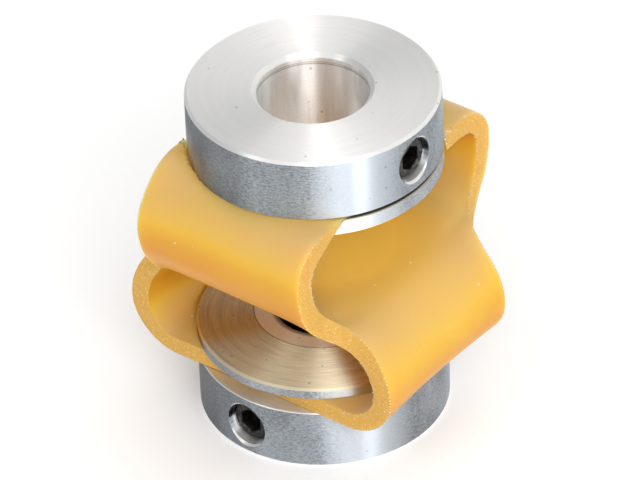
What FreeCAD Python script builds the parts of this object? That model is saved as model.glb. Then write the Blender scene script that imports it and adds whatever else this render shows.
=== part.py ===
import FreeCAD, Part
import math
import os

import Sketcher
from FreeCAD import Placement, Rotation, Vector

# Double-loop flexible shaft coupling.
# The shafts lie along Z and the origin is halfway between the two end faces, on the axis. The upper loop
# is a tube of strip along X and gives along Y; the lower loop is a tube along Y and gives along X.
# An end (hub, clamp disc and set screw) is drawn once, facing +Z with its screw towards +X. The lower end
# is the same end turned half round, so that it faces -Z and its screw points towards -Y.

DIMENSIONS = [
    ("coupling_length", 40.0),
    # hubs
    ("hub_diameter", 27.0),
    ("hub_thickness", 7.2),
    ("hub_chamfer", 0.3),
    ("inner_edge_chamfer", 0.1),
    ("upper_bore", 12.0),
    ("lower_bore", 10.0),
    ("bore_chamfer", 0.45),
    ("boss_diameter", 14.6),
    # clamp discs
    ("disc_diameter", 27.0),
    ("upper_disc", 1.8),
    ("lower_disc", 1.2),
    ("disc_dish", 0.8),
    ("disc_chamfer", 0.25),
    ("upper_clamp_gap", 0.45),
    ("lower_clamp_gap", 2.05),
    # set screws, M5
    ("tapped_hole", 5.0),
    ("countersink", 5.5),
    ("screw_diameter", 4.9),
    ("screw_length", 6.0),
    ("screw_chamfer", 0.3),
    ("cup_diameter", 2.5),
    ("cup_depth", 0.7),
    ("socket_flats", 2.5),
    ("socket_depth", 2.6),
    ("upper_screw_end", 12.8),
    ("lower_screw_end", 12.6),
    # moulded flexible element
    ("strip_width", 21.0),
    ("web_top", 0.2),
    ("web_bottom", -2.1),
    ("hub_clearance", 0.05),
    ("upper_reach", 17.1),
    ("upper_outer_bend", 4.9),
    ("upper_wall", 2.2),
    ("upper_strip", 2.3),
    ("lower_reach", 16.8),
    ("lower_outer_bend", 7.2),
    ("lower_inner_bend", 5.0),
    ("lower_wall", 2.2),
    ("lower_strip", 2.0),
]

HALF_LENGTH = "sheet.coupling_length / 2"
INNER_FACE = "sheet.coupling_length / 2 - sheet.hub_thickness"
SCREW_HEIGHT = "sheet.coupling_length / 2 - sheet.hub_thickness / 2"

# half a turn about this line swaps +Z with -Z and +X with -Y
TURNED_OVER = Placement(Vector(0, 0, 0), Rotation(Vector(1, -1, 0), 180))
UPRIGHT = Placement()

doc = FreeCAD.newDocument("loop_coupling")
sheet = doc.addObject("Spreadsheet::Sheet", "sheet")
for row, (alias, size) in enumerate(DIMENSIONS, start=1):
    sheet.set(f"A{row}", alias)
    sheet.set(f"B{row}", str(size))
    sheet.setAlias(f"B{row}", alias)
doc.recompute()


def value(expression):
    """The number that an expression over the sheet gives now."""
    return float(sheet.evalExpression(expression.replace("sheet.", "")))


def new_body(label, placement):
    body = doc.addObject("PartDesign::Body", label)
    body.Label = label
    body.Placement = placement
    return body


def new_sketch(body, name, plane_role):
    sketch = body.newObject("Sketcher::SketchObject", name)
    plane = next(feature for feature in body.Origin.OriginFeatures if feature.Role == plane_role)
    sketch.AttachmentSupport = [(plane, "")]
    sketch.MapMode = "FlatFace"
    return sketch


def bind(sketch, kind, places, expression):
    """Add a driving dimension to the sketch and tie it to the sheet."""
    index = sketch.addConstraint(Sketcher.Constraint(kind, *places, value(expression)))
    sketch.setExpression(f"Constraints[{index}]", expression)


def pin_point(sketch, edge, end, across, up):
    """Hold one end of an edge at a place given by two expressions; "0" puts it on the sketch axis."""
    if across == "0":
        sketch.addConstraint(Sketcher.Constraint("PointOnObject", edge, end, -2))
    else:
        bind(sketch, "DistanceX", (-1, 1, edge, end), across)
    if up == "0":
        sketch.addConstraint(Sketcher.Constraint("PointOnObject", edge, end, -1))
    else:
        bind(sketch, "DistanceY", (-1, 1, edge, end), up)


def polygon(sketch, corners):
    """A closed outline through corners, each a pair of expressions."""
    points = [Vector(value(across), value(up), 0) for across, up in corners]
    count = len(points)
    first = sketch.GeometryCount
    for i in range(count):
        sketch.addGeometry(Part.LineSegment(points[i], points[(i + 1) % count]), False)
    for i in range(count):
        sketch.addConstraint(Sketcher.Constraint("Coincident", first + i, 2, first + (i + 1) % count, 1))
    for i, (across, up) in enumerate(corners):
        pin_point(sketch, first + i, 1, across, up)


def revolve(body, feature_type, name, sketch, axis):
    feature = body.newObject(feature_type, name)
    feature.Profile = sketch
    feature.ReferenceAxis = (sketch, [axis])
    feature.Angle = 360
    sketch.Visibility = False
    return feature


def make_hub(label, placement, bore, clamp_gap, thickness):
    """Turned hub whose boss runs through the strip, with the tapped hole for its set screw."""
    bore_radius = f"sheet.{bore} / 2"
    boss_end = f"{INNER_FACE} - sheet.{clamp_gap} - sheet.{thickness} - sheet.disc_dish"
    body = new_body(label, placement)

    section = new_sketch(body, f"{label}_section", "XZ_Plane")
    polygon(section, [
        (bore_radius, boss_end),
        ("sheet.boss_diameter / 2", boss_end),
        ("sheet.boss_diameter / 2", INNER_FACE),
        ("sheet.hub_diameter / 2 - sheet.inner_edge_chamfer", INNER_FACE),
        ("sheet.hub_diameter / 2", f"{INNER_FACE} + sheet.inner_edge_chamfer"),
        ("sheet.hub_diameter / 2", f"{HALF_LENGTH} - sheet.hub_chamfer"),
        ("sheet.hub_diameter / 2 - sheet.hub_chamfer", HALF_LENGTH),
        (f"{bore_radius} + sheet.bore_chamfer", HALF_LENGTH),
        (bore_radius, f"{HALF_LENGTH} - sheet.bore_chamfer"),
    ])
    revolve(body, "PartDesign::Revolution", f"{label}_turned", section, "V_Axis")
    doc.recompute()
    solid_before = body.Shape.Volume

    # the hole runs from inside the bore to just past the rim, and its cone opens at the rim
    hole_radius = "sheet.tapped_hole / 2"
    cone_start = "sheet.hub_diameter / 2 - (sheet.countersink - sheet.tapped_hole) / 2"
    past_rim = "sheet.hub_diameter / 2 + 1"
    hole = new_sketch(body, f"{label}_screw_hole", "XZ_Plane")
    polygon(hole, [
        ("sheet.lower_bore / 4", SCREW_HEIGHT),
        (past_rim, SCREW_HEIGHT),
        (past_rim, f"{SCREW_HEIGHT} + sheet.countersink / 2 + 1"),
        (cone_start, f"{SCREW_HEIGHT} + {hole_radius}"),
        ("sheet.lower_bore / 4", f"{SCREW_HEIGHT} + {hole_radius}"),
    ])
    hole.toggleConstruction(0)
    hole.addGeometry(Part.LineSegment(hole.Geometry[0].StartPoint, hole.Geometry[0].EndPoint), False)
    closing = hole.GeometryCount - 1
    hole.addConstraint(Sketcher.Constraint("Coincident", closing, 1, 0, 1))
    hole.addConstraint(Sketcher.Constraint("Coincident", closing, 2, 0, 2))
    revolve(body, "PartDesign::Groove", f"{label}_tapped_hole", hole, "Axis0")
    doc.recompute()
    assert body.Shape.Volume < solid_before
    return body


def make_disc(label, placement, clamp_gap, thickness):
    """Dished washer on the boss; its rim leans towards the hub and bites into the strip."""
    rim = f"{INNER_FACE} - sheet.{clamp_gap}"
    back = f"{rim} - sheet.{thickness}"
    body = new_body(label, placement)
    section = new_sketch(body, f"{label}_section", "XZ_Plane")
    polygon(section, [
        ("sheet.boss_diameter / 2", f"{rim} - sheet.disc_dish"),
        ("sheet.boss_diameter / 2", f"{back} - sheet.disc_dish"),
        ("sheet.disc_diameter / 2 - sheet.disc_chamfer", back),
        ("sheet.disc_diameter / 2", f"{back} + sheet.disc_chamfer"),
        ("sheet.disc_diameter / 2", rim),
    ])
    revolve(body, "PartDesign::Revolution", f"{label}_pressed", section, "V_Axis")
    return body


def make_screw(label, placement, outer_end):
    """Cup-point set screw lying along X, with its hexagon socket at the outer end."""
    end = f"sheet.{outer_end}"
    tip = f"{end} - sheet.screw_length"
    radius = "sheet.screw_diameter / 2"
    cup_radius = "sheet.cup_diameter / 2"
    lift = Vector(0, 0, value(SCREW_HEIGHT))
    body = new_body(label, placement.multiply(Placement(lift, Rotation())))

    section = new_sketch(body, f"{label}_section", "XZ_Plane")
    polygon(section, [
        (f"{tip} + sheet.cup_depth", "0"),
        (tip, cup_radius),
        (f"{tip} + {radius} - {cup_radius}", radius),
        (f"{end} - sheet.screw_chamfer", radius),
        (end, f"{radius} - sheet.screw_chamfer"),
        (end, "0"),
    ])
    revolve(body, "PartDesign::Revolution", f"{label}_shank", section, "H_Axis")
    doc.recompute()
    solid_before = body.Shape.Volume

    socket = new_sketch(body, f"{label}_hexagon", "YZ_Plane")
    socket.setExpression(".AttachmentOffset.Base.z", end)
    corner_radius = value("sheet.socket_flats") / 3 ** 0.5
    turn = Rotation(Vector(0, 0, 1), 60)
    corner = Vector(corner_radius, 0, 0)
    for side in range(6):
        following = turn.multVec(corner)
        socket.addGeometry(Part.LineSegment(corner, following), False)
        corner = following
    socket.addGeometry(Part.Circle(Vector(0, 0, 0), Vector(0, 0, 1), corner_radius), True)
    for side in range(6):
        socket.addConstraint(Sketcher.Constraint("Coincident", side, 2, (side + 1) % 6, 1))
        socket.addConstraint(Sketcher.Constraint("PointOnObject", side, 1, 6))
    for side in range(1, 6):
        socket.addConstraint(Sketcher.Constraint("Equal", 0, side))
    socket.addConstraint(Sketcher.Constraint("Coincident", 6, 3, -1, 1))
    socket.addConstraint(Sketcher.Constraint("PointOnObject", 0, 1, -1))
    bind(socket, "Diameter", (6,), "2 * sheet.socket_flats / sqrt(3)")
    pocket = body.newObject("PartDesign::Pocket", f"{label}_socket")
    pocket.Profile = socket
    pocket.setExpression("Length", "sheet.socket_depth")
    doc.recompute()
    assert body.Shape.Volume < solid_before
    return body


def loop_outline(sketch, reach, top, bottom, top_bend):
    """Half-round-ended outline, alike on both sides: each side has a bend of top_bend below the flat
    top and a second bend, of whatever is left of the height, above the flat bottom."""
    out = value(reach)
    upper_radius = value(top_bend)
    lower_radius = value(top) - value(bottom) - upper_radius
    middle = value(top) - upper_radius
    flat_top = out - upper_radius
    flat_bottom = out - lower_radius
    quarter = math.pi / 2
    up = Vector(0, 0, 1)

    def arc(across, radius, start):
        circle = Part.Circle(Vector(across, middle, 0), up, radius)
        return Part.ArcOfCircle(circle, start * quarter, (start + 1) * quarter)

    first = sketch.GeometryCount
    top_line, left_top, left_low, bottom_line, right_low, right_top = range(first, first + 6)
    sketch.addGeometry([
        Part.LineSegment(Vector(flat_top, value(top), 0), Vector(-flat_top, value(top), 0)),
        arc(-flat_top, upper_radius, 1),
        arc(-flat_bottom, lower_radius, 2),
        Part.LineSegment(Vector(-flat_bottom, value(bottom), 0), Vector(flat_bottom, value(bottom), 0)),
        arc(flat_bottom, lower_radius, 3),
        arc(flat_top, upper_radius, 0),
    ], False)
    ring = [top_line, left_top, left_low, bottom_line, right_low, right_top]
    for before, after in zip(ring, ring[1:]):
        sketch.addConstraint(Sketcher.Constraint("Tangent", before, 2, after, 1))
    sketch.addConstraint(Sketcher.Constraint("Tangent", right_top, 2, top_line, 1))
    sketch.addConstraint(Sketcher.Constraint("Symmetric", top_line, 1, top_line, 2, -2))
    sketch.addConstraint(Sketcher.Constraint("Symmetric", bottom_line, 1, bottom_line, 2, -2))
    sketch.addConstraint(Sketcher.Constraint("Equal", left_top, right_top))
    sketch.addConstraint(Sketcher.Constraint("Horizontal", right_low, 3, right_top, 3))
    bind(sketch, "Radius", (right_top,), top_bend)
    bind(sketch, "DistanceX", (-1, 1, right_low, 2), reach)
    bind(sketch, "DistanceY", (-1, 1, top_line, 1), top)
    bind(sketch, "DistanceY", (-1, 1, bottom_line, 1), bottom)


def make_band(body, name, plane_role, outer, inner):
    """A closed band of strip, strip_width wide, between two outlines on one origin plane."""
    sketch = new_sketch(body, f"{name}_outline", plane_role)
    loop_outline(sketch, *outer)
    loop_outline(sketch, *inner)
    pad = body.newObject("PartDesign::Pad", name)
    pad.Profile = sketch
    pad.Midplane = True
    pad.setExpression("Length", "sheet.strip_width")
    sketch.Visibility = False
    doc.recompute()


def make_clamp_seat(body, name, clamp_gap, thickness, side):
    """Room for one boss and clamp disc in the strip; side is 1 at the upper end and -1 at the lower."""
    rim = f"{INNER_FACE} - sheet.{clamp_gap}"
    sign = "" if side > 0 else "-1 * "
    hole = "sheet.boss_diameter / 2 + sheet.hub_clearance"
    outside = "sheet.disc_diameter / 2 + sheet.hub_clearance"
    rim_seat = f"{sign}({rim} + sheet.hub_clearance)"
    hole_seat = f"{sign}({rim} + sheet.hub_clearance - sheet.disc_dish)"
    below = f"{sign}({rim} - sheet.{thickness} - sheet.disc_dish)"
    above = f"{sign}({HALF_LENGTH})"
    sketch = new_sketch(body, f"{name}_section", "XZ_Plane")
    polygon(sketch, [("0", below), (outside, below), (outside, rim_seat), (hole, hole_seat), (hole, above),
                     ("0", above)])
    volume_before = body.Shape.Volume
    revolve(body, "PartDesign::Groove", name, sketch, "V_Axis")
    doc.recompute()
    assert body.Shape.Volume < volume_before


def make_element(label):
    """One moulding: two bands that cross in the web, one looping up and the other looping down."""
    upper_top = f"{INNER_FACE} - sheet.hub_clearance"
    lower_bottom = f"-1 * ({INNER_FACE} - sheet.hub_clearance)"
    upper_hollow_top = f"{upper_top} - sheet.upper_strip"
    lower_hollow_bottom = f"{lower_bottom} + sheet.lower_strip"
    body = new_body(label, UPRIGHT)
    make_band(
        body, "upper_loop", "YZ_Plane",
        ("sheet.upper_reach", upper_top, "sheet.web_bottom", "sheet.upper_outer_bend"),
        ("sheet.upper_reach - sheet.upper_wall", upper_hollow_top, "sheet.web_top",
         "sheet.upper_outer_bend - sheet.upper_strip"),
    )
    make_band(
        body, "lower_loop", "XZ_Plane",
        ("sheet.lower_reach", "sheet.web_top", lower_bottom, "sheet.lower_outer_bend"),
        ("sheet.lower_reach - sheet.lower_wall", "sheet.web_bottom", lower_hollow_bottom,
         "sheet.lower_inner_bend"),
    )
    make_clamp_seat(body, "upper_clamp_seat", "upper_clamp_gap", "upper_disc", 1)
    make_clamp_seat(body, "lower_clamp_seat", "lower_clamp_gap", "lower_disc", -1)
    return body


subparts = [
    make_hub("upper_hub", UPRIGHT, "upper_bore", "upper_clamp_gap", "upper_disc"),
    make_disc("upper_clamp_disc", UPRIGHT, "upper_clamp_gap", "upper_disc"),
    make_screw("upper_set_screw", UPRIGHT, "upper_screw_end"),
    make_element("flex_element"),
    make_disc("lower_clamp_disc", TURNED_OVER, "lower_clamp_gap", "lower_disc"),
    make_hub("lower_hub", TURNED_OVER, "lower_bore", "lower_clamp_gap", "lower_disc"),
    make_screw("lower_set_screw", TURNED_OVER, "lower_screw_end"),
]

doc.recompute()
for item in doc.Objects:
    if "Invalid" in item.State or "Error" in item.State:
        raise RuntimeError(f"{item.Name} did not rebuild: {item.State}")
for body in subparts:
    if body.Shape.isNull() or not body.Shape.isValid() or len(body.Shape.Solids) != 1:
        raise RuntimeError(f"{body.Label} is not one valid solid")

os.makedirs("parts", exist_ok=True)
for body in subparts:
    body.Shape.exportStep(os.path.join("parts", f"{body.Label}.step"))
    box = body.Shape.BoundBox
    print(f"{body.Label}: {body.Shape.Volume:.0f} mm3, {box.XLength:.2f} x {box.YLength:.2f} x {box.ZLength:.2f}")
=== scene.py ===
import contextlib
import math
import random

import bmesh
import bpy
import numpy as np
from mathutils import Matrix, Vector, noise


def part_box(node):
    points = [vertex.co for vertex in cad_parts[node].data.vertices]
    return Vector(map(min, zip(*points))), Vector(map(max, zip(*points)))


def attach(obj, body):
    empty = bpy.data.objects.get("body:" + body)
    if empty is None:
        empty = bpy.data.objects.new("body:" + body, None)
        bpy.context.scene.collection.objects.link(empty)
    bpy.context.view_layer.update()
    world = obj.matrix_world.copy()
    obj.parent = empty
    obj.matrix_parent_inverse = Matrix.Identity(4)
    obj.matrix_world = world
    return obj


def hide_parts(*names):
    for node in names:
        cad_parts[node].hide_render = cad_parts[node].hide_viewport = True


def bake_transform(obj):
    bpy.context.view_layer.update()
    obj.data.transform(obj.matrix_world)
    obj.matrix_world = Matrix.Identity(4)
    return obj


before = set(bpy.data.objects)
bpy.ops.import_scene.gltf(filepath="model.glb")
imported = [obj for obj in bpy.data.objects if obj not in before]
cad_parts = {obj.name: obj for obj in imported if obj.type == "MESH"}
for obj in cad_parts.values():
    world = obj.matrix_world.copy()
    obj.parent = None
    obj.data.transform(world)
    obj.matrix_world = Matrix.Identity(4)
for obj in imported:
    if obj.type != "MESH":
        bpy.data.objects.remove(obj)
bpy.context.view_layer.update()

MM = 0.001

# ---------------------------------------------------------------- sizes, from the frame where it has them
ELEMENT_LOW, ELEMENT_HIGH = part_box("flex_element")
UPPER_SCREW_LOW, UPPER_SCREW_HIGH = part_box("upper_set_screw")
LOWER_SCREW_LOW, LOWER_SCREW_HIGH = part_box("lower_set_screw")
UPPER_DISC_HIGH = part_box("upper_clamp_disc")[1]
LOWER_DISC_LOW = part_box("lower_clamp_disc")[0]
FLOOR_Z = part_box("lower_hub")[0][2]
DISC_RADIUS = UPPER_DISC_HIGH[0]
BOSS_RADIUS = 7.3 * MM
DISC_DISH = 0.8 * MM

# the moulding: a web, two arms up and two arms down, each arm a strip with a near and a far bend
STRIP_WIDTH = 21.0 * MM
FORK_RADIUS = 4.5 * MM
WEB_MIDDLE_Z = -0.95 * MM
WEB_WALL = 2.3 * MM
BEND_WALL = 2.2 * MM
UPPER_STRIP = 2.3 * MM
LOWER_STRIP = 2.0 * MM
UPPER_NEAR_BEND = 8.8 * MM
LOWER_NEAR_BEND = 6.1 * MM
EDGE_ROUND = 0.2 * MM
EDGE_ANGLE = math.radians(50)
WELD_DISTANCE = 0.002 * MM
# the upper arms are crowned between their edges, from this share of the way to where an arm starts
WEB_CROWN = 0.95 * MM
CROWN_START = 0.25
# the lower arms' edges are flared, and the flare ends this far along the flat strip
EDGE_FLARE = 0.45 * MM
FLARE_RUN_OUT = 2 * MM
# one corner curls up: the curl grows from this far past the arm's widest point to this far along the flat
# strip, and towards the axis it fades out between the last two distances
CORNER_CURL = 1.72 * MM
CURL_START = 2.2 * MM
CURL_END = 1.5 * MM
CURL_ACROSS = (5 * MM, 8 * MM)
# how far the left lower lobe is pulled in
LEFT_LOBE_PULL = 0.35 * MM
# the front upper strip is pinched thin between hub and disc, and has its full wall this far outside them
PINCHED_WALL = 0.5 * MM
SQUEEZE_LENGTH = 3.3 * MM
# the strips are pressed into their seats, and the press fades out between these distances beyond the rims
SEAT_GAP = 0.04 * MM
DISC_SEAT_END = (0.05 * MM, 0.3 * MM)
HUB_SEAT_END = (0.02 * MM, 0.14 * MM)
STRIPS_BEYOND_Z = 6 * MM
# how far the fitted moulding sits from its ideal place: turned on the shaft axis, and its strips off centre
ELEMENT_TURN = math.radians(2.2)
UPPER_STRIP_SHIFT = -0.3 * MM
LOWER_STRIP_SHIFT = -0.8 * MM
# the ripple of the cut faces: how many cells of noise in a metre, and how high in millimetres
CUT_RIPPLE = ((900, 0.05), (2600, 0.035))

SCREW_RADIUS = 2.45 * MM
THREAD_PITCH = 0.8 * MM
THREAD_DEPTH = 0.36 * MM
THREAD_FLANK = 1.35
THREAD_ROOT_FLAT = 0.1
SOCKET_FLATS = 2.5 * MM
SOCKET_DEPTH = 2.6 * MM
SOCKET_CHAMFER = 0.1 * MM
SOCKET_LEDGE = (0.4 * MM, 0.3 * MM)
DRILL_RADIUS = SOCKET_FLATS / 2 * 0.96
DRILL_POINT = 0.3 * MM
CENTRE_RADIUS = 0.02 * MM
CUP_RADIUS = 1.25 * MM
CUP_DEPTH = 0.7 * MM
END_CHAMFER = 0.45 * MM
SCREW_SIDES = 96
SCREW_STEPS = 120
SCREW_SHARP_ANGLE = math.radians(35)


# ---------------------------------------------------------------- small helpers
def smoothstep(low, high, x):
    t = np.clip((np.asarray(x, float) - low) / (high - low), 0.0, 1.0)
    return t * t * (3 - 2 * t)


def mesh_object(name, vertices, faces):
    mesh = bpy.data.meshes.new(name)
    mesh.from_pydata([tuple(v) for v in vertices], [], faces)
    mesh.validate()
    obj = bpy.data.objects.new(name, mesh)
    bpy.context.scene.collection.objects.link(obj)
    return obj


@contextlib.contextmanager
def edited(mesh):
    """The mesh as a bmesh, which is written back to it at the end."""
    shape = bmesh.new()
    shape.from_mesh(mesh)
    yield shape
    shape.to_mesh(mesh)
    shape.free()


def apply_modifiers(obj):
    depsgraph = bpy.context.evaluated_depsgraph_get()
    mesh = bpy.data.meshes.new_from_object(obj.evaluated_get(depsgraph))
    obj.modifiers.clear()
    obj.data = mesh


def smooth(mesh):
    for polygon in mesh.polygons:
        polygon.use_smooth = True


class Graph:
    """A material's node tree, with short calls for the nodes that the finishes share."""

    def __init__(self, name):
        self.material = bpy.data.materials.new(name)
        self.material.use_nodes = True
        self.nodes = self.material.node_tree.nodes
        self.links = self.material.node_tree.links
        self.shader = self.nodes["Principled BSDF"]
        self.place = self.nodes.new("ShaderNodeTexCoord").outputs["Object"]

    def join(self, source, target):
        if isinstance(source, bpy.types.NodeSocket):
            self.links.new(source, target)
        else:
            target.default_value = source

    def add(self, kind, inputs=(), **settings):
        node = self.nodes.new(kind)
        for name, setting in settings.items():
            setattr(node, name, setting)
        for socket, source in dict(inputs).items():
            self.join(source, node.inputs[socket])
        return node

    def math(self, operation, first, second=0.0):
        return self.add("ShaderNodeMath", {0: first, 1: second}, operation=operation).outputs[0]

    def times(self, first, second):
        return self.math("MULTIPLY", first, second)

    def plus(self, first, second):
        return self.math("ADD", first, second)

    def vector(self, operation, first, second=(0, 0, 0)):
        node = self.add("ShaderNodeVectorMath", {0: first, 1: second}, operation=operation)
        return node.outputs["Value" if operation == "LENGTH" else "Vector"]

    def combine(self, x, y, z):
        return self.add("ShaderNodeCombineXYZ", {0: x, 1: y, 2: z}).outputs[0]

    def separate(self, vector):
        return self.add("ShaderNodeSeparateXYZ", {0: vector}).outputs

    def noise(self, vector, scale, detail, rough):
        inputs = {"Vector": vector, "Scale": scale, "Detail": detail, "Roughness": rough}
        return self.add("ShaderNodeTexNoise", inputs).outputs["Fac"]

    def speck(self, vector, scale, low, high):
        """Small round specks: 1 inside them, 0 elsewhere."""
        cells = self.add("ShaderNodeTexVoronoi", {"Vector": vector, "Scale": scale}).outputs["Distance"]
        return self.ramp(cells, low, high, 1.0, 0.0)

    def ramp(self, value, low, high, start=0.0, end=1.0):
        node = self.add("ShaderNodeMapRange", {0: value, 1: low, 2: high, 3: start, 4: end})
        return node.outputs[0]

    def band(self, value, outer_low, low, high, outer_high):
        """1 from low to high, falling to 0 at the two outer values."""
        return self.times(self.ramp(value, outer_low, low), self.ramp(value, high, outer_high, 1.0, 0.0))

    def mix(self, factor, first, second):
        return self.add("ShaderNodeMix", {0: factor, 6: first, 7: second}, data_type="RGBA").outputs[2]

    def bump(self, height, distance, strength):
        inputs = {"Height": height, "Distance": distance, "Strength": strength}
        return self.add("ShaderNodeBump", inputs).outputs["Normal"]

    def set(self, **sockets):
        for name, source in sockets.items():
            self.join(source, self.shader.inputs[name.replace("_", " ").title()])


# ---------------------------------------------------------------- materials
# The lights alone leave the rims too even, so their tones are painted, fixed on the object: darker
# towards the first side and brighter towards the second. They stand in for reflections.
DARK_RIM_SIDE = (-0.94, -0.34)
BRIGHT_RIM_SIDE = (0.87, -0.50)
WARM_RIM = ((0.52, 0.40, 0.26, 1), (0.90, 0.73, 0.52, 1))
BORE_GROOVES = ((18.75, 18.9), (19.0, 19.08))
GROOVE_COLOUR = (0.30, 0.26, 0.22, 1)
PIT_COLOUR = (0.22, 0.16, 0.12, 1)
JOINT_COLOUR = (0.10, 0.08, 0.06, 1)
# painted shade in the gap between the upper hub and its disc
GAP_SHADE_COLOUR = (0.06, 0.04, 0.03, 1)
# painted shade inside the lower bore
DEEP_BORE_SHADE_COLOUR = (0.05, 0.04, 0.02, 1)
WHITE = (1, 1, 1, 1)


def tone(colour, factor):
    """A colour made darker or lighter, but never brighter than white."""
    return tuple(min(1.0, factor * c) for c in colour[:3]) + (1,)


class TurnedMetal(Graph):
    """Turned aluminium, with its tool marks running round the axis: rings on the flat faces and in the
    bores. The outer rim is mottled and painted darker, as painted shade for its dimmer reflections.
    The marks spread every highlight across them."""

    def __init__(self, name, face_colour, side_colour, face_roughness, ring_strength, ring_shade):
        super().__init__(name)
        self.face_colour = face_colour
        self.side_colour = side_colour
        self.x, self.y, self.z = self.separate(self.place)
        squares = self.plus(self.times(self.x, self.x), self.times(self.y, self.y))
        self.radius = self.math("SQRT", squares)
        self.angle = self.math("ARCTAN2", self.y, self.x)
        normal = self.add("ShaderNodeTexCoord").outputs["Normal"]
        facing = self.math("ABSOLUTE", self.separate(normal)[2])
        self.flat = self.ramp(facing, 0.4, 0.6)
        self.face = self.ramp(facing, 0.9, 0.99)
        self.grain = self.round_noise(26, 6500, self.radius)
        self.mottle = self.noise(self.place, 5200.0, 3.0, 0.6)
        ring_place = self.combine(self.times(self.radius, 9000), self.times(self.angle, 3.0), 0.0)
        self.rings = self.noise(ring_place, 1.0, 3.0, 0.6)

        outside = self.ramp(self.radius, DISC_RADIUS - 0.8 * MM, DISC_RADIUS - 0.5 * MM)
        outer_rim = self.times(outside, self.math("SUBTRACT", 1.0, self.flat))
        faces = self.mix(self.face, face_colour, self.ringed(ring_shade))
        base = self.mix(outer_rim, self.mix(self.flat, self.bore_wall(), faces), self.rim())
        self.set(base_color=self.dark_places(base), metallic=1.0)

        mixed = {0: self.flat, 2: self.grain, 3: self.rings}
        texture = self.add("ShaderNodeMix", mixed, data_type="FLOAT").outputs[0]
        uneven = self.ramp(self.plus(texture, self.times(self.mottle, 0.4)), 0.35, 1.0, -0.08, 0.08)
        self.set(roughness=self.plus(uneven, self.ramp(self.flat, 0.0, 1.0, 0.42, face_roughness)))
        self.shader.inputs["Anisotropic"].default_value = 1.0
        self.shader.inputs["Anisotropic Rotation"].default_value = 0.25
        self.set(tangent=self.add("ShaderNodeTangent", direction_type="RADIAL", axis="Z").outputs["Tangent"])
        self.set(normal=self.bump(texture, 0.00002, ring_strength))

    def round_noise(self, round_scale, axis_scale, third, rough=0.6):
        """Noise that is stretched round the axis."""
        place = self.combine(self.times(self.angle, round_scale), self.times(self.z, axis_scale), third)
        return self.noise(place, 1.0, 3.0, rough)

    def towards(self, side):
        """How far a place lies towards that side of the axis."""
        return self.plus(self.times(self.x, side[0]), self.times(self.y, side[1]))

    def ringed(self, ring_shade):
        """The turning rings on a flat face."""
        place = self.combine(self.times(self.radius, 1700), self.angle, 0.0)
        wide = self.noise(place, 1.0, 2.0, 0.5)
        marks = self.plus(self.times(self.rings, 0.65), self.times(wide, 0.35))
        return self.mix(self.ramp(marks, 0.35, 0.65), tone(self.face_colour, ring_shade), self.face_colour)

    def rim(self):
        """The outer rim's mottled colour, with painted reflections: darker towards one side, brighter
        towards another, and warm low on the upper hub.
        """
        cloud = self.round_noise(2.4, 130, 0.0, 0.55)
        shade = self.plus(self.times(self.mottle, 0.5), self.times(cloud, 0.5))
        grain = self.times(self.math("SUBTRACT", self.grain, 0.5), 0.8)
        shade = self.ramp(self.plus(shade, grain), 0.34, 0.66)
        side = self.mix(shade, tone(self.side_colour, 0.62), tone(self.side_colour, 1.45))
        dark_way = self.towards(DARK_RIM_SIDE)
        darker = self.ramp(dark_way, 0.2 * DISC_RADIUS, 0.95 * DISC_RADIUS, 0.0, 0.75)
        side = self.mix(darker, side, tone(self.side_colour, 0.35))
        # the upper hub's rim is painted warm low on its dark side, as if it mirrored the moulding
        warm = self.band(self.z, 12 * MM, 12.6 * MM, 13.4 * MM, 17.6 * MM)
        warm = self.times(warm, self.ramp(dark_way, 0.5 * DISC_RADIUS, 0.92 * DISC_RADIUS))
        warm = self.times(warm, self.ramp(cloud, 0.3, 0.6, 0.35, 1.0))
        side = self.mix(warm, side, self.mix(shade, *WARM_RIM))
        bright_way = self.math("DIVIDE", self.towards(BRIGHT_RIM_SIDE), self.radius)
        brighter = self.ramp(bright_way, 0.92, 0.995, 0.0, 0.75)
        return self.mix(brighter, side, tone(self.side_colour, 2.1))

    def bore_wall(self):
        """The streaked wall of a bore, with two fine grooves near the upper bore's mouth."""
        streaks = self.round_noise(9, 160, 5.0)
        marks = self.plus(self.times(self.grain, 0.5), self.times(streaks, 0.5))
        colour = self.mix(self.ramp(marks, 0.34, 0.66), tone(self.face_colour, 0.86), WHITE)
        for low, high in BORE_GROOVES:
            groove = self.band(self.z, (low - 0.03) * MM, low * MM, high * MM, (high + 0.03) * MM)
            colour = self.mix(self.times(groove, 0.55), colour, GROOVE_COLOUR)
        return colour

    def dark_places(self, base):
        """Pits, a fine dark joint line, and painted shade in the places where the light would reach too far
        into them.
        """
        pits = self.speck(self.place, 420.0, 0.05, 0.085)
        base = self.mix(self.times(pits, 0.4), base, PIT_COLOUR)
        # a fine line where the boss ends and the clamp disc begins
        off_joint = self.math("ABSOLUTE", self.math("SUBTRACT", self.radius, BOSS_RADIUS))
        height = self.math("ABSOLUTE", self.z)
        joint = self.times(self.ramp(off_joint, 0.03 * MM, 0.1 * MM, 0.6, 0.0),
                          self.ramp(height, 12.6 * MM, 12.5 * MM))
        base = self.mix(joint, base, JOINT_COLOUR)
        # painted shade in the narrow gap between the upper hub and its disc
        gap = self.band(self.z, 11.3 * MM, 11.4 * MM, 12.95 * MM, 13.0 * MM)
        gap = self.times(gap, self.ramp(self.radius, 6.8 * MM, 7.0 * MM))
        gap = self.times(gap, self.ramp(self.radius, 13.2 * MM, 13.3 * MM, 0.9, 0.0))
        base = self.mix(gap, base, GAP_SHADE_COLOUR)
        # painted shade inside the lower bore
        deep = self.times(self.ramp(self.radius, 5.2 * MM, 5.6 * MM, 1.0, 0.0),
                         self.ramp(self.z, -9 * MM, -8 * MM, 1.0, 0.0))
        return self.mix(deep, base, DEEP_BORE_SHADE_COLOUR)


BLACK_OXIDE = ((0.022, 0.02, 0.02, 1), (0.13, 0.115, 0.10, 1))


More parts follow.
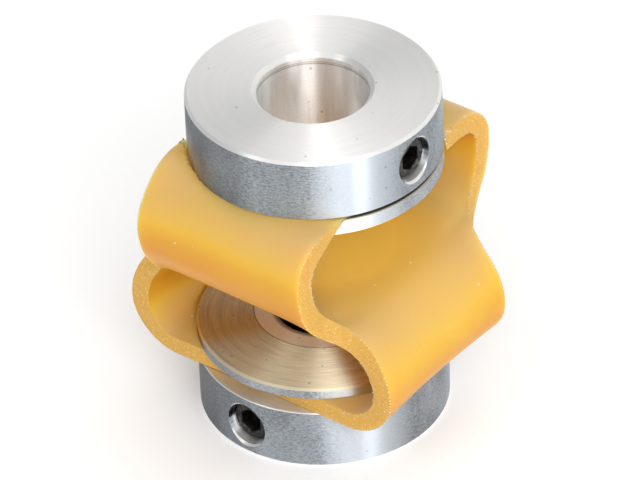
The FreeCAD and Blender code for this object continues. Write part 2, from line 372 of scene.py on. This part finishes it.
def black_oxide():
    """Black oxide on steel, slightly oily, with brown patches."""
    g = Graph("black_oxide_steel")
    wear = g.noise(g.place, 1500.0, 4.0, 0.6)
    g.set(base_color=g.mix(g.ramp(wear, 0.5, 0.75), *BLACK_OXIDE))
    g.set(metallic=0.8, roughness=g.ramp(wear, 0.3, 0.8, 0.24, 0.42))
    g.set(normal=g.bump(wear, 0.00001, 0.5))
    return g.material


AMBER = (0.65, 0.41, 0.045, 1)
AMBER_NEAR_AXIS = (0.84, 0.525, 0.085, 1)
AMBER_BELOW = (0.58, 0.25, 0.01, 1)
AMBER_ON_TOP = (0.60, 0.39, 0.145, 1)
AMBER_CUT = ((0.53, 0.29, 0.05, 1), (0.60, 0.36, 0.09, 1))
CRUMB_COLOUR = (0.95, 0.86, 0.68, 1)
SCATTER_DEPTH = 3.5 * MM


def amber_polyurethane():
    """Translucent moulding: smooth sides, and rough cut edges with white grit. Its colour is painted
    browner on faces that look down, paler on faces that look up and lighter near the shaft axis, because
    in one colour the web shades too dark and the arms' undersides too pale."""
    g = Graph("amber_polyurethane")
    edge = g.add("ShaderNodeAttribute", attribute_name="cut_edge").outputs["Fac"]
    seam = g.add("ShaderNodeAttribute", attribute_name="seam_distance").outputs["Fac"]
    cloud = g.noise(g.place, 90.0, 3.0, 0.5)
    grit = g.noise(g.place, 3000.0, 4.0, 0.7)
    upward = g.separate(g.add("ShaderNodeTexCoord").outputs["Normal"])[2]
    upward = g.plus(upward, g.ramp(cloud, 0.3, 0.7, -0.12, 0.12))
    radius = g.vector("LENGTH", g.vector("MULTIPLY", g.place, (1, 1, 0)))
    near_axis = g.ramp(radius, 8 * MM, 16 * MM, 1.0, 0.0)
    golden = g.math("MAXIMUM", g.ramp(upward, -0.3, 0.35), near_axis)
    body = g.mix(golden, AMBER_BELOW, g.mix(near_axis, AMBER, AMBER_NEAR_AXIS))
    on_top = g.times(g.ramp(upward, 0.25, 0.95), g.math("SUBTRACT", 1.0, near_axis))
    body = g.mix(on_top, body, AMBER_ON_TOP)
    base = g.mix(edge, body, g.mix(g.ramp(grit, 0.35, 0.7), *AMBER_CUT))

    # white: grit on the cut faces, a ragged line along their ridges, dust, and the loose crumbs
    ridge = g.ramp(g.times(edge, g.math("SUBTRACT", 1.0, edge)), 0.03, 0.16)
    ragged = g.ramp(g.noise(g.place, 2400.0, 3.0, 0.6), 0.42, 0.54)
    crumbs = g.times(g.speck(g.place, 2600.0, 0.1, 0.22), g.times(edge, 0.5))
    crumbs = g.math("MAXIMUM", crumbs, g.times(ridge, ragged))
    dust = g.times(g.speck(g.place, 330.0, 0.035, 0.07), 0.45)
    whole_crumb = g.ramp(edge, 1.2, 1.8)
    white = g.math("MAXIMUM", dust, g.times(crumbs, 0.85))
    g.set(base_color=g.mix(g.math("MAXIMUM", white, whole_crumb), base, CRUMB_COLOUR))

    g.set(roughness=g.plus(g.ramp(edge, 0.0, 1.0, 0.36, 0.62), g.ramp(cloud, 0.3, 0.7, -0.03, 0.03)))
    g.shader.inputs["IOR"].default_value = 1.33
    # at the seam between the two pieces nothing scatters, so that the seam doesn't show
    g.set(subsurface_weight=g.ramp(seam, 0.3 * MM, 3 * MM, 0.0, 0.85))
    g.shader.inputs["Subsurface Radius"].default_value = (1.0, 0.8, 0.5)
    g.shader.inputs["Subsurface Scale"].default_value = SCATTER_DEPTH
    height = g.plus(g.times(grit, edge), g.times(dust, 0.5))
    g.set(normal=g.bump(height, 0.00006, 0.8))
    return g.material


# ---------------------------------------------------------------- the flexible element
class ArmPath:
    """The middle line of one arm in its own plane: flat web, a bend, a second bend, then a flat strip
    back to the shaft axis. across is the distance from the axis and rise the height above the web."""

    def __init__(self, reach, near_bend, far_bend):
        self.near = near_bend
        self.far = far_bend
        self.flat = reach - near_bend
        self.turn = self.flat + near_bend * math.pi / 2
        self.strip = self.turn + far_bend * math.pi / 2
        self.length = self.strip + reach - far_bend

    def at(self, s):
        s = np.asarray(s, float)
        first = np.clip((s - self.flat) / self.near, 0, math.pi / 2)
        second = np.clip((s - self.turn) / self.far, 0, math.pi / 2)
        across = np.minimum(s, self.flat) + self.near * np.sin(first)
        across -= self.far * (1 - np.cos(second)) + np.maximum(s - self.strip, 0)
        rise = self.near * (1 - np.cos(first)) + self.far * np.sin(second)
        return across, rise


UPPER_REACH = ELEMENT_HIGH[1] - BEND_WALL / 2
LOWER_REACH = ELEMENT_HIGH[0] - BEND_WALL / 2
UPPER_RISE = ELEMENT_HIGH[2] - UPPER_STRIP / 2 - WEB_MIDDLE_Z
LOWER_RISE = WEB_MIDDLE_Z - (ELEMENT_LOW[2] + LOWER_STRIP / 2)
UPPER_PATH = ArmPath(UPPER_REACH, UPPER_NEAR_BEND, UPPER_RISE - UPPER_NEAR_BEND)
LOWER_PATH = ArmPath(LOWER_REACH, LOWER_NEAR_BEND, LOWER_RISE - LOWER_NEAR_BEND)
# where an arm starts, half way round the fork's corner
FORK = STRIP_WIDTH / 2 + FORK_RADIUS * (1 - math.sqrt(0.5))


def half_width(s):
    """Half the strip's width at distance s from the axis: it widens into the fork's round corner."""
    run = np.clip(STRIP_WIDTH / 2 + FORK_RADIUS - np.asarray(s, float), 0, FORK_RADIUS / math.sqrt(2))
    return STRIP_WIDTH / 2 + FORK_RADIUS - np.sqrt(FORK_RADIUS ** 2 - run ** 2)


def bend_share(path, s):
    """0 on the flat web, rising to 1 at the widest point of the arm."""
    return smoothstep(path.flat, path.turn, np.abs(s))


def strip_share(path, s):
    """0 up to the widest point of the arm, rising to 1 where the flat strip at the hub begins."""
    return smoothstep(path.turn, path.strip, np.abs(s))


def middle_surface(u, v):
    """Middle of the wall for distances u along the upper arms and v along the lower arms."""
    y, rise = UPPER_PATH.at(np.abs(u))
    x, drop = LOWER_PATH.at(np.abs(v))
    fork_end = FORK + FORK_RADIUS
    rise = rise * np.where(np.abs(u) < fork_end, 1 - smoothstep(FORK, LOWER_PATH.turn, np.abs(v)), 1.0)
    drop = drop * np.where(np.abs(v) < fork_end, 1 - smoothstep(FORK, UPPER_PATH.turn, np.abs(u)), 1.0)
    upper = bend_share(UPPER_PATH, u)
    lower = bend_share(LOWER_PATH, v)
    leftward = smoothstep(0, LOWER_REACH, -np.sign(v) * x)
    x = np.sign(v) * x + UPPER_STRIP_SHIFT * upper + LEFT_LOBE_PULL * lower * leftward
    y = np.sign(u) * y + LOWER_STRIP_SHIFT * lower
    turn = ELEMENT_TURN * np.maximum(upper, lower)
    return np.stack([x * np.cos(turn) - y * np.sin(turn), x * np.sin(turn) + y * np.cos(turn),
                     WEB_MIDDLE_Z + rise - drop + crown(u, v) + corner_curl(u, v)], -1)


def crown(u, v):
    """How far the upper arms rise between their cut edges where they leave the web."""
    along = smoothstep(CROWN_START * FORK, FORK, np.abs(u)) * (1 - bend_share(UPPER_PATH, u))
    return WEB_CROWN * along * (1 - np.clip(np.abs(2 * v / STRIP_WIDTH), 0, 1) ** 6)


def corner_curl(u, v):
    """The front arm's left edge springs up where it comes out from under the hub."""
    along = smoothstep(UPPER_PATH.turn + CURL_START, UPPER_PATH.strip + CURL_END, -np.asarray(u))
    outside = smoothstep(*CURL_ACROSS, UPPER_PATH.at(np.abs(u))[0])
    return CORNER_CURL * along * outside * np.clip(-2 * v / STRIP_WIDTH, 0, 1) ** 2


def wall(u, v):
    """Thickness of the wall there."""
    bend = np.maximum(bend_share(UPPER_PATH, u), bend_share(LOWER_PATH, v))
    thickness = WEB_WALL + (BEND_WALL - WEB_WALL) * bend
    thickness += (UPPER_STRIP - BEND_WALL) * strip_share(UPPER_PATH, u)
    return thickness + (LOWER_STRIP - BEND_WALL) * strip_share(LOWER_PATH, v)


def flare(u, v):
    """How far the lower arms' cut edges curl away from the bend's centre, as a bent strip's edges do."""
    run_out = smoothstep(LOWER_PATH.turn, LOWER_PATH.strip + FLARE_RUN_OUT, np.abs(v))
    curl = bend_share(LOWER_PATH, v) * (1 - run_out)
    return EDGE_FLARE * curl * (2 * u / STRIP_WIDTH) ** 2


def both_sides(u, v):
    """The two faces of the wall: the one that is on top at the web, and the one below it."""
    step = 0.01 * MM
    along_u = middle_surface(u + step, v) - middle_surface(u - step, v)
    along_v = middle_surface(u, v + step) - middle_surface(u, v - step)
    normal = np.cross(along_v, along_u)
    normal /= np.linalg.norm(normal, axis=-1, keepdims=True)
    centre = middle_surface(u, v) + normal * flare(u, v)[..., None]
    thickness = wall(u, v)
    half = normal * thickness[..., None] / 2
    radius = np.hypot(centre[..., 0], centre[..., 1])
    near_hub = 1 - smoothstep(DISC_RADIUS, DISC_RADIUS + SQUEEZE_LENGTH, radius)
    squeeze = strip_share(UPPER_PATH, u) * near_hub * (np.asarray(u) < 0)
    inward = normal * ((thickness - PINCHED_WALL) * squeeze)[..., None]
    return centre + half - inward, centre - half


def press_into_seats(points):
    """Squeeze the strip between hub and clamp disc: inside the disc's rim nothing may pass its dished face,
    and nothing may reach into the hub."""
    radius = np.hypot(points[:, 0], points[:, 1])
    inward = DISC_RADIUS - np.clip(radius, BOSS_RADIUS, DISC_RADIUS)
    lean = DISC_DISH * inward / (DISC_RADIUS - BOSS_RADIUS)
    on_disc, under_hub = (1 - smoothstep(DISC_RADIUS + start, DISC_RADIUS + end, radius)
                          for start, end in (DISC_SEAT_END, HUB_SEAT_END))
    upper_face = UPPER_DISC_HIGH[2] - lean + SEAT_GAP
    lower_face = LOWER_DISC_LOW[2] + lean - SEAT_GAP
    z = points[:, 2].copy()
    upper = (z > STRIPS_BEYOND_Z) & (z < upper_face)
    lower = (z < -STRIPS_BEYOND_Z) & (z > lower_face)
    curled = z > ELEMENT_HIGH[2]
    points[upper, 2] += (on_disc * (upper_face - z))[upper]
    points[lower, 2] += (on_disc * (lower_face - z))[lower]
    points[curled, 2] += (under_hub * (ELEMENT_HIGH[2] - z))[curled]
    return points


# what a face of the moulding is: WALL or CUT, plus LOWER or UPPER for the piece it belongs to
WALL, CUT = 0, 1
LOWER, UPPER = 0, 2
KIND_COUNT = 4
GRID_COLUMNS = 47
GRID_ROWS = 88
CUT_LAYERS = 7


def element_grid():
    """All faces of the moulding, and what each face is: WALL or CUT, plus LOWER or UPPER. The web is a
    square patch, an arm leaves each of its sides, and two cut faces run along each arm."""
    points = []
    faces = []
    kinds = []

    def add_sheet(sheet, kind):
        start = sum(len(p) for p in points)
        points.append(sheet.reshape(-1, 3))
        high, wide = sheet.shape[:2]
        for i in range(high - 1):
            for j in range(wide - 1):
                a = start + i * wide + j
                faces.append((a, a + wide, a + wide + 1, a + 1))
                kinds.append(kind)

    share = np.linspace(-1, 1, GRID_COLUMNS)
    u, v = np.meshgrid(share * FORK, share * FORK, indexing="ij")
    for side in both_sides(u, v):
        add_sheet(side, LOWER + WALL)
    for path, piece in ((UPPER_PATH, UPPER), (LOWER_PATH, LOWER)):
        for side in (-1, 1):
            s = np.linspace(FORK, path.length, GRID_ROWS)
            along = np.repeat((side * s)[:, None], GRID_COLUMNS, 1)
            sideways = half_width(s)[:, None] * share[None, :]
            top, bottom = both_sides(along, sideways) if piece == UPPER else both_sides(sideways, along)
            add_sheet(top, piece + WALL)
            add_sheet(bottom, piece + WALL)
            for column in (0, -1):
                depth = np.linspace(0, 1, CUT_LAYERS)[None, :, None]
                cut = top[:, column][:, None] * (1 - depth) + bottom[:, column][:, None] * depth
                add_sheet(cut, piece + CUT)
    return press_into_seats(np.concatenate(points)), faces, kinds


def open_boss_hole(mesh, side, piece):
    """Take the strip away where the boss runs through it, on the upper (side 1) or lower (side -1) end."""
    radius = BOSS_RADIUS + SEAT_GAP

    def in_boss(vertex):
        return vertex.co.z * side > STRIPS_BEYOND_Z and math.hypot(vertex.co.x, vertex.co.y) < radius

    inside = [face for face in mesh.faces if any(in_boss(vertex) for vertex in face.verts)]
    bmesh.ops.delete(mesh, geom=inside, context="FACES")
    rim = [edge for edge in mesh.edges if edge.is_boundary]
    for vertex in {vertex for edge in rim for vertex in edge.verts}:
        vertex.co.xy = vertex.co.xy.normalized() * radius
    for face in bmesh.ops.bridge_loops(mesh, edges=rim)["faces"]:
        face.material_index = piece + WALL


def whole_element():
    """The finished moulding in one mesh: welded, its cut edges rounded, and holed for the two bosses.
    Each face's material index says what the face is."""
    points, faces, kinds = element_grid()
    whole = mesh_object("element_whole", points, faces)
    for _ in range(KIND_COUNT):
        whole.data.materials.append(None)
    whole.data.polygons.foreach_set("material_index", kinds)
    with edited(whole.data) as mesh:
        bmesh.ops.remove_doubles(mesh, verts=mesh.verts, dist=WELD_DISTANCE)
        bmesh.ops.recalc_face_normals(mesh, faces=mesh.faces)
    rounding = whole.modifiers.new("rounding", "BEVEL")
    rounding.width = EDGE_ROUND
    rounding.segments = 3
    rounding.limit_method = "ANGLE"
    rounding.angle_limit = EDGE_ANGLE
    apply_modifiers(whole)
    with edited(whole.data) as mesh:
        open_boss_hole(mesh, 1, UPPER)
        open_boss_hole(mesh, -1, LOWER)
        bmesh.ops.recalc_face_normals(mesh, faces=mesh.faces)
    return whole


def vertex_vectors(source, attribute, count):
    """One vector for each vertex, as rows."""
    values = np.empty(count * 3)
    source.foreach_get(attribute, values)
    return values.reshape(-1, 3)


def split_element(whole, material):
    """Cut the moulding at the foot of the upper arms into the piece below and the piece above."""
    mesh = whole.data
    count = len(mesh.vertices)
    place = vertex_vectors(mesh.vertices, "co", count)
    normal = vertex_vectors(mesh.vertex_normals, "vector", count)
    cut_share = np.zeros(count)
    touching = np.zeros(count)
    for polygon in mesh.polygons:
        for vertex in polygon.vertices:
            touching[vertex] += 1
            cut_share[vertex] += polygon.material_index % 2
    cut_share /= np.maximum(touching, 1)

    seam_distance = np.minimum(abs(place[:, 1] - FORK), abs(place[:, 1] + FORK))
    ripple = np.array([cut_ripple(p) for p in place])
    place = place + normal * (cut_share * ripple)[:, None]

    pieces = []
    for name, piece in (("element_web_and_lower_arms", LOWER), ("element_upper_arms", UPPER)):
        chosen = [p for p in mesh.polygons if p.material_index // 2 * 2 == piece]
        used = sorted({v for p in chosen for v in p.vertices})
        index = {v: i for i, v in enumerate(used)}
        faces = [tuple(index[v] for v in p.vertices) for p in chosen]
        ridges = [v for v in used if RIDGE_SHARE[0] < cut_share[v] < RIDGE_SHARE[1]
                  and seam_distance[v] > SEAM_CLEARANCE]
        points, crumb_faces, normals = crumbs(place[ridges], len(used))
        obj = mesh_object(name, np.vstack([place[used], points]), faces + crumb_faces)
        finish_piece(obj.data, material, np.vstack([normal[used], normals]), {
            "cut_edge": np.append(cut_share[used], np.full(len(points), WHOLE_CRUMB)),
            "seam_distance": np.append(seam_distance[used], np.full(len(points), FORK)),
        })
        pieces.append(obj)
    return pieces


# loose crumbs lie along the ridges of each piece, clear of the seam: a ridge is where this share of the
# faces round a vertex is cut. The crumbs' radius is in millimetres.
RIDGE_SHARE = (0.2, 0.8)
SEAM_CLEARANCE = 1 * MM
CRUMB_COUNT = 300
CRUMB_SIZE = (0.03, 0.1)
CRUMB_STRETCH = (0.6, 1.5)
CRUMB_LUMPS = (0.75, 1.25)
# what cut_edge says on a crumb, which makes it white
WHOLE_CRUMB = 2.0
# some more lie in a heap where the back arm leaves the upper hub, this many millimetres off the ridge
HEAP_COUNT = 45
HEAP_OFFSET = ((0.0, 0.3), (-0.15, 0.15))
HEAP_LOW = np.array([5.0, 7.0, 11.5]) * MM
HEAP_HIGH = np.array([np.inf, 13.0 * MM, np.inf])


def crumbs(ridge, first):
    """Loose shavings stuck along the cut ridges: points, faces numbered from first, and normals."""
    rng = random.Random(11)
    grain = bmesh.new()
    bmesh.ops.create_icosphere(grain, subdivisions=1, radius=1.0)
    ball = np.array([tuple(v.co) for v in grain.verts])
    ball_faces = [[v.index for v in f.verts] for f in grain.faces]
    grain.free()
    spots = rng.sample(list(ridge), min(CRUMB_COUNT, len(ridge)))
    heap = [place for place in ridge if (place > HEAP_LOW).all() and (place < HEAP_HIGH).all()]
    for _ in range(HEAP_COUNT if heap else 0):
        place = rng.choice(heap)
        outward, upward = (rng.uniform(*limits) for limits in HEAP_OFFSET)
        spots.append(place + np.array([outward, 0.0, upward]) * MM)
    points = []
    faces = []
    for place in spots:
        size = rng.uniform(*CRUMB_SIZE) * MM
        stretch = np.array([rng.uniform(*CRUMB_STRETCH) for _ in range(3)])
        lumps = np.array([rng.uniform(*CRUMB_LUMPS) for _ in ball])[:, None]
        start = first + len(points) * len(ball)
        points.append(place + size * ball * stretch * lumps)
        faces += [tuple(start + i for i in face) for face in ball_faces]
    return np.vstack(points), faces, np.vstack([ball] * len(points))


def cut_ripple(point):
    """Unevenness of the cut faces, in metres."""
    return sum(height * noise.noise(Vector(point) * scale) for scale, height in CUT_RIPPLE) * MM


def finish_piece(mesh, material, normals, attributes):
    """Give the piece its material and attributes, close it at the seam, and shade it with the given
    normals, so that both pieces shade alike along the seam."""
    for name, values in attributes.items():
        mesh.attributes.new(name, "FLOAT", "POINT").data.foreach_set("value", values.astype(np.float32))
    smooth(mesh)
    mesh.materials.append(material)
    with edited(mesh) as shape:
        open_edges = [edge for edge in shape.edges if edge.is_boundary]
        bmesh.ops.holes_fill(shape, edges=open_edges, sides=0)
    mesh.normals_split_custom_set_from_vertices([tuple(n) for n in normals])


def make_element():
    whole = whole_element()
    lower_piece, upper_piece = split_element(whole, amber_polyurethane())
    bpy.data.objects.remove(whole)
    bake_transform(lower_piece)
    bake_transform(upper_piece)
    for piece in (lower_piece, upper_piece):
        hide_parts("flex_element")


# ---------------------------------------------------------------- set screws
def longest_side(node):
    low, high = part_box(node)
    return max(high[i] - low[i] for i in range(3))


def hexagon(angle):
    """Radius of the socket's hexagon in that direction."""
    return SOCKET_FLATS / 2 / math.cos((angle + math.pi / 6) % (math.pi / 3) - math.pi / 6)


def screw_rings(length, angles):
    """Rings of (depth, radius, angle) from the middle of the socket's floor, out over the threaded side
    and in to the middle of the cup."""
    root = SCREW_RADIUS - THREAD_DEPTH
    side = []
    for depth in np.linspace(0, length, SCREW_STEPS):
        outer_limit = SCREW_RADIUS - max(0.0, END_CHAMFER - depth)
        point_limit = CUP_RADIUS + (length - depth)
        ring = []
        for angle in angles:
            turn = (depth / THREAD_PITCH + angle / (2 * math.pi)) % 1.0
            crest = THREAD_FLANK * (1 - abs(2 * turn - 1)) - THREAD_ROOT_FLAT
            crest = min(1.0, max(0.0, crest))
            ring.append((depth, min(root + THREAD_DEPTH * crest, outer_limit, point_limit), angle))
        side.append(ring)
    flat_mouth = [(0.0, hexagon(angle) + SOCKET_CHAMFER, angle) for angle in angles]
    mouth = [(SOCKET_CHAMFER, hexagon(angle), angle) for angle in angles]
    ledge = [(SOCKET_DEPTH - SOCKET_LEDGE[0], hexagon(angle), angle) for angle in angles]
    drilled = [(SOCKET_DEPTH - SOCKET_LEDGE[1], min(DRILL_RADIUS, hexagon(angle)), angle)
               for angle in angles]
    point = [(SOCKET_DEPTH + DRILL_POINT, CENTRE_RADIUS, angle) for angle in angles]
    cup = [(length - CUP_DEPTH, CENTRE_RADIUS, angle) for angle in angles]
    return [point, drilled, ledge, mouth, flat_mouth] + side + [cup]


def set_screw(name, outward, outer_end, height, material, body, node):
    """Cup-point set screw: real thread, chamfered ends, hexagon socket with a drilled floor."""
    sides = SCREW_SIDES
    angles = [2 * math.pi * i / sides for i in range(sides)]
    rings = screw_rings(longest_side(node), angles)
    up = Vector((0, 0, 1))
    axis = Vector(outward)
    side = up.cross(axis)
    points = []
    for ring in rings:
        for depth, radius, angle in ring:
            across = side * math.cos(angle) + up * math.sin(angle)
            points.append(axis * (outer_end - depth) + up * height + across * radius)
    faces = []
    for start in range(0, (len(rings) - 1) * sides, sides):
        for j in range(sides):
            following = (j + 1) % sides
            faces.append((start + j, start + following, start + sides + following, start + sides + j))
    faces.append(tuple(range(sides)))
    faces.append(tuple(range((len(rings) - 1) * sides, len(rings) * sides))[::-1])
    screw = mesh_object(name, points, faces)
    with edited(screw.data) as shape:
        bmesh.ops.recalc_face_normals(shape, faces=shape.faces)
    smooth(screw.data)
    screw.data.set_sharp_from_angle(angle=SCREW_SHARP_ANGLE)
    screw.data.materials.append(material)
    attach(screw, body)
    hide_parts(node)


def make_screws():
    metal = black_oxide()
    upper_height = (UPPER_SCREW_LOW[2] + UPPER_SCREW_HIGH[2]) / 2
    lower_height = (LOWER_SCREW_LOW[2] + LOWER_SCREW_HIGH[2]) / 2
    set_screw("upper_grub_screw", (1, 0, 0), UPPER_SCREW_HIGH[0], upper_height, metal,
              "upper_screw", "upper_set_screw")
    set_screw("lower_grub_screw", (0, -1, 0), -LOWER_SCREW_LOW[1], lower_height, metal,
              "lower_screw", "lower_set_screw")


# ---------------------------------------------------------------- metal
# the rims' side colours are painted darker than the faces', as painted shade for the dimmer reflections on
# the rims
HUB_FACE = (0.93, 0.92, 0.90, 1)
HUB_SIDE = (0.33, 0.36, 0.39, 1)
# the disc face's golden tint is a painted reflection of the amber moulding
DISC_FACE = (1.0, 0.94, 0.74, 1)
DISC_SIDE = (0.42, 0.45, 0.48, 1)


def finish_metal():
    hub = TurnedMetal("turned_aluminium", HUB_FACE, HUB_SIDE,
                      face_roughness=0.36, ring_strength=0.25, ring_shade=0.93).material
    disc = TurnedMetal("disc_aluminium", DISC_FACE, DISC_SIDE,
                       face_roughness=0.64, ring_strength=0.5, ring_shade=0.72).material
    finishes = {"upper_hub": hub, "lower_hub": hub, "upper_clamp_disc": disc, "lower_clamp_disc": disc}
    for node, material in finishes.items():
        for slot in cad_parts[node].material_slots:
            slot.material = material


# ---------------------------------------------------------------- studio
CAMERA_DISTANCE = 0.675
CAMERA_AZIMUTH = math.radians(40.0)
CAMERA_ELEVATION = math.radians(36.96)
CAMERA_ROLL = math.radians(-2.36)
CAMERA_LENS = 357.5
SENSOR_WIDTH = 36.0
# how far the camera stands beside and above the line that it would look along to the origin
CAMERA_RIGHT = 0.08 * MM
CAMERA_UP = 0.05 * MM
# name, place, size, power; each one faces the origin
LIGHTS = (
    ("right_softbox", (0.50, -0.13, 0.10), (0.13, 0.18), 0.45),
    ("left_softbox", (-0.13, -0.48, 0.28), (0.16, 0.30), 0.15),
    ("top_softbox", (-0.05, 0.15, 0.6), (0.4, 0.4), 0.2),
    ("front_softbox", (0.36, -0.32, 0.32), (0.30, 0.30), 1.2),
)
# the studio is darker beyond the left light, which the left half of each hub's rim mirrors
DARK_SIDE = (-0.97, -0.2, 0.1)
DARK_SIDE_TINT = (0.5, 0.51, 0.52, 1)
DARK_SIDE_FADE = (0.1, 0.95)
WORLD_STRENGTH = 1.03
FLOOR_HALF = 3.0
FLOOR_COLOUR = (0.97, 0.97, 0.97, 1)


def make_camera():
    level = math.cos(CAMERA_ELEVATION)
    back = Vector((math.sin(CAMERA_AZIMUTH) * level, -math.cos(CAMERA_AZIMUTH) * level,
                   math.sin(CAMERA_ELEVATION)))
    right = Vector((math.cos(CAMERA_AZIMUTH), math.sin(CAMERA_AZIMUTH), 0))
    up = back.cross(right)
    turned_right = right * math.cos(CAMERA_ROLL) + up * math.sin(CAMERA_ROLL)
    turned_up = up * math.cos(CAMERA_ROLL) - right * math.sin(CAMERA_ROLL)
    camera = bpy.data.objects.new("camera", bpy.data.cameras.new("camera"))
    camera.data.lens = CAMERA_LENS
    camera.data.sensor_width = SENSOR_WIDTH
    camera.data.clip_start = 0.01
    axes = Matrix((turned_right, turned_up, back)).transposed()
    place = back * CAMERA_DISTANCE + right * CAMERA_RIGHT + up * CAMERA_UP
    camera.matrix_world = Matrix.Translation(place) @ axes.to_4x4()
    bpy.context.scene.collection.objects.link(camera)
    bpy.context.scene.camera = camera


def make_light(name, place, size, power):
    lamp = bpy.data.lights.new(name, "AREA")
    lamp.shape = "RECTANGLE"
    lamp.size, lamp.size_y = size
    lamp.energy = power
    light = bpy.data.objects.new(name, lamp)
    light.location = place
    light.rotation_euler = (-Vector(place)).to_track_quat("-Z", "Y").to_euler()
    bpy.context.scene.collection.objects.link(light)


def make_floor():
    corners = [(x * FLOOR_HALF, y * FLOOR_HALF, FLOOR_Z) for x, y in ((-1, -1), (1, -1), (1, 1), (-1, 1))]
    floor = mesh_object("floor", corners, [(0, 1, 2, 3)])
    g = Graph("pale_floor")
    g.set(base_color=FLOOR_COLOUR, roughness=0.7)
    floor.data.materials.append(g.material)


def make_world():
    world = bpy.data.worlds.new("studio")
    world.use_nodes = True
    nodes = world.node_tree.nodes
    links = world.node_tree.links
    background = nodes["Background"]
    background.inputs["Strength"].default_value = WORLD_STRENGTH
    direction = nodes.new("ShaderNodeTexCoord").outputs["Generated"]
    towards = nodes.new("ShaderNodeVectorMath")
    towards.operation = "DOT_PRODUCT"
    towards.inputs[1].default_value = DARK_SIDE
    links.new(direction, towards.inputs[0])
    shade = nodes.new("ShaderNodeMapRange")
    shade.interpolation_type = "SMOOTHSTEP"
    shade.inputs["From Min"].default_value, shade.inputs["From Max"].default_value = DARK_SIDE_FADE
    links.new(towards.outputs["Value"], shade.inputs["Value"])
    tint = nodes.new("ShaderNodeMix")
    tint.data_type = "RGBA"
    tint.inputs[6].default_value = WHITE
    tint.inputs[7].default_value = DARK_SIDE_TINT
    links.new(shade.outputs["Result"], tint.inputs[0])
    links.new(tint.outputs[2], background.inputs["Color"])
    bpy.context.scene.world = world


make_element()
make_screws()
finish_metal()
make_camera()
make_floor()
make_world()
for light in LIGHTS:
    make_light(*light)
bpy.context.scene.view_settings.view_transform = "Standard"
